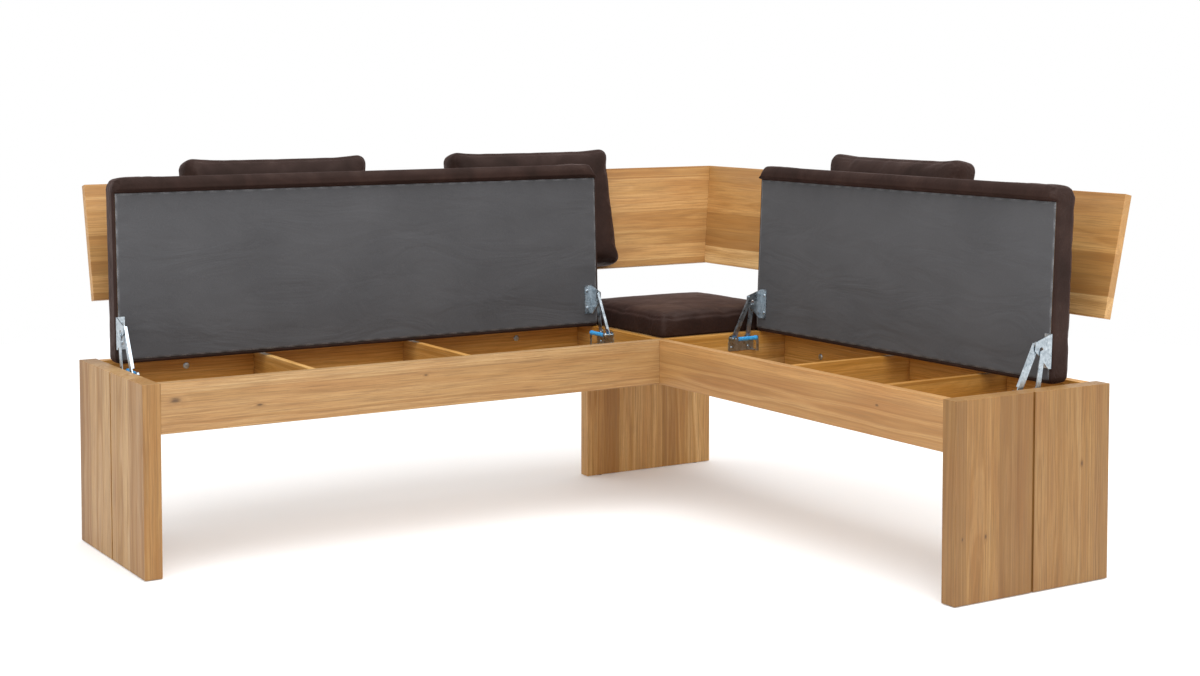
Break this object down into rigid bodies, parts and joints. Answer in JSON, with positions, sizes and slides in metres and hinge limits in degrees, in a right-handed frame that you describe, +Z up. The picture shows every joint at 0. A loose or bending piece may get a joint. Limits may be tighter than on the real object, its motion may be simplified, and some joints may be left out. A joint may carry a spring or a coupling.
{
  "type": "corner storage bench",
  "caption": "Oak corner bench in an L, with leaning backrests, brown cushions and upholstered seats that fold up on sprung hinges over divided storage boxes.",
  "frame": {"origin": "on the floor, under the middle of the bounding box of the whole bench with both seats folded up", "axes": "+Z up; the long run lies along X at the back and sits towards -Y; the short run lies along Y at the right and sits towards -X"},
  "size_m": [1.9254, 1.6654, 0.9056],
  "materials": {
    "oiled_oak": "satin",
    "plywood": "matte",
    "brown_microfibre": "matte",
    "grey_lining_cloth": "matte",
    "zinc_plated_steel": "satin",
    "blue_plastic_sleeve": "satin",
    "black_plastic": "matte"
  },
  "bodies": {
    "bench_frame": {"left_cheek": "oiled_oak", "long_front_rail": "oiled_oak", "long_rear_rail": "oiled_oak", "long_partition": "oiled_oak", "long_divider_1": "oiled_oak", "long_divider_2": "oiled_oak", "long_box_floor": "oiled_oak", "long_backrest": "oiled_oak", "long_backrest_uprights": "oiled_oak", "long_inner_hinge_plate": "zinc_plated_steel", "long_inner_spring_sleeve": "blue_plastic_sleeve", "long_outer_hinge_plate": "zinc_plated_steel", "long_outer_spring_sleeve": "blue_plastic_sleeve", "right_cheek": "oiled_oak", "short_front_rail": "oiled_oak", "short_rear_rail": "oiled_oak", "short_partition": "oiled_oak", "short_divider_1": "oiled_oak", "short_divider_2": "oiled_oak", "short_box_floor": "oiled_oak", "short_backrest": "oiled_oak", "short_backrest_uprights": "oiled_oak", "short_inner_hinge_plate": "zinc_plated_steel", "short_inner_spring_sleeve": "blue_plastic_sleeve", "short_outer_hinge_plate": "zinc_plated_steel", "short_outer_spring_sleeve": "blue_plastic_sleeve", "corner_leg_panel": "oiled_oak", "corner_seat_board": "oiled_oak", "corner_seat_cushion": "brown_microfibre", "left_back_cushion": "brown_microfibre", "left_cushion_flap": "brown_microfibre", "middle_back_cushion": "brown_microfibre", "middle_cushion_flap": "brown_microfibre", "right_back_cushion": "brown_microfibre", "right_cushion_flap": "brown_microfibre", "spring_rods": "zinc_plated_steel", "hinge_screws": "zinc_plated_steel", "upright_bolts": "zinc_plated_steel", "floor_glides": "black_plastic"},
    "long_front_arms": {"long_inner_front_arm": "zinc_plated_steel", "long_outer_front_arm": "zinc_plated_steel"},
    "long_lid": {"long_lid_board": "plywood", "long_lid_lining": "grey_lining_cloth", "long_seat_cushion": "brown_microfibre", "long_inner_lid_bracket": "zinc_plated_steel", "long_outer_lid_bracket": "zinc_plated_steel", "long_lid_screws": "zinc_plated_steel"},
    "long_rear_arms": {"long_inner_rear_arm": "zinc_plated_steel", "long_outer_rear_arm": "zinc_plated_steel"},
    "short_front_arms": {"short_inner_front_arm": "zinc_plated_steel", "short_outer_front_arm": "zinc_plated_steel"},
    "short_lid": {"short_lid_board": "plywood", "short_lid_lining": "grey_lining_cloth", "short_seat_cushion": "brown_microfibre", "short_inner_lid_bracket": "zinc_plated_steel", "short_outer_lid_bracket": "zinc_plated_steel", "short_lid_screws": "zinc_plated_steel"},
    "short_rear_arms": {"short_inner_rear_arm": "zinc_plated_steel", "short_outer_rear_arm": "zinc_plated_steel"}
  },
  "joints": [
    {"name": "long_front_arms_fold", "type": "hinge", "parent": "bench_frame", "child": "long_front_arms", "pos_m": [-0.28273, 0.49327, 0.423], "axis": [-1, 0, 0], "range_deg": [0, 75.13]},
    {"name": "long_lid_turn", "type": "hinge", "parent": "long_front_arms", "child": "long_lid", "pos_m": [-0.28273, 0.54727, 0.52684], "axis": [1, 0, 0], "range_deg": [0, 165.24]},
    {"name": "long_rear_arms_fold", "type": "hinge", "parent": "bench_frame", "child": "long_rear_arms", "pos_m": [-0.28273, 0.54427, 0.425], "axis": [-1, 0, 0], "range_deg": [0, 93.14]},
    {"name": "short_front_arms_fold", "type": "hinge", "parent": "bench_frame", "child": "short_front_arms", "pos_m": [0.62327, -0.28273, 0.423], "axis": [0, 1, 0], "range_deg": [0, 75.13]},
    {"name": "short_lid_turn", "type": "hinge", "parent": "short_front_arms", "child": "short_lid", "pos_m": [0.67727, -0.28273, 0.52684], "axis": [0, -1, 0], "range_deg": [0, 165.24]},
    {"name": "short_rear_arms_fold", "type": "hinge", "parent": "bench_frame", "child": "short_rear_arms", "pos_m": [0.67427, -0.28273, 0.425], "axis": [0, 1, 0], "range_deg": [0, 93.14]}
  ],
  "couplings": [
    {"joint": "long_lid_turn", "follows": "long_front_arms_fold", "ratio": 2.1992},
    {"joint": "long_rear_arms_fold", "follows": "long_front_arms_fold", "ratio": 1.2396},
    {"joint": "short_lid_turn", "follows": "short_front_arms_fold", "ratio": 2.1992},
    {"joint": "short_rear_arms_fold", "follows": "short_front_arms_fold", "ratio": 1.2396}
  ]
}
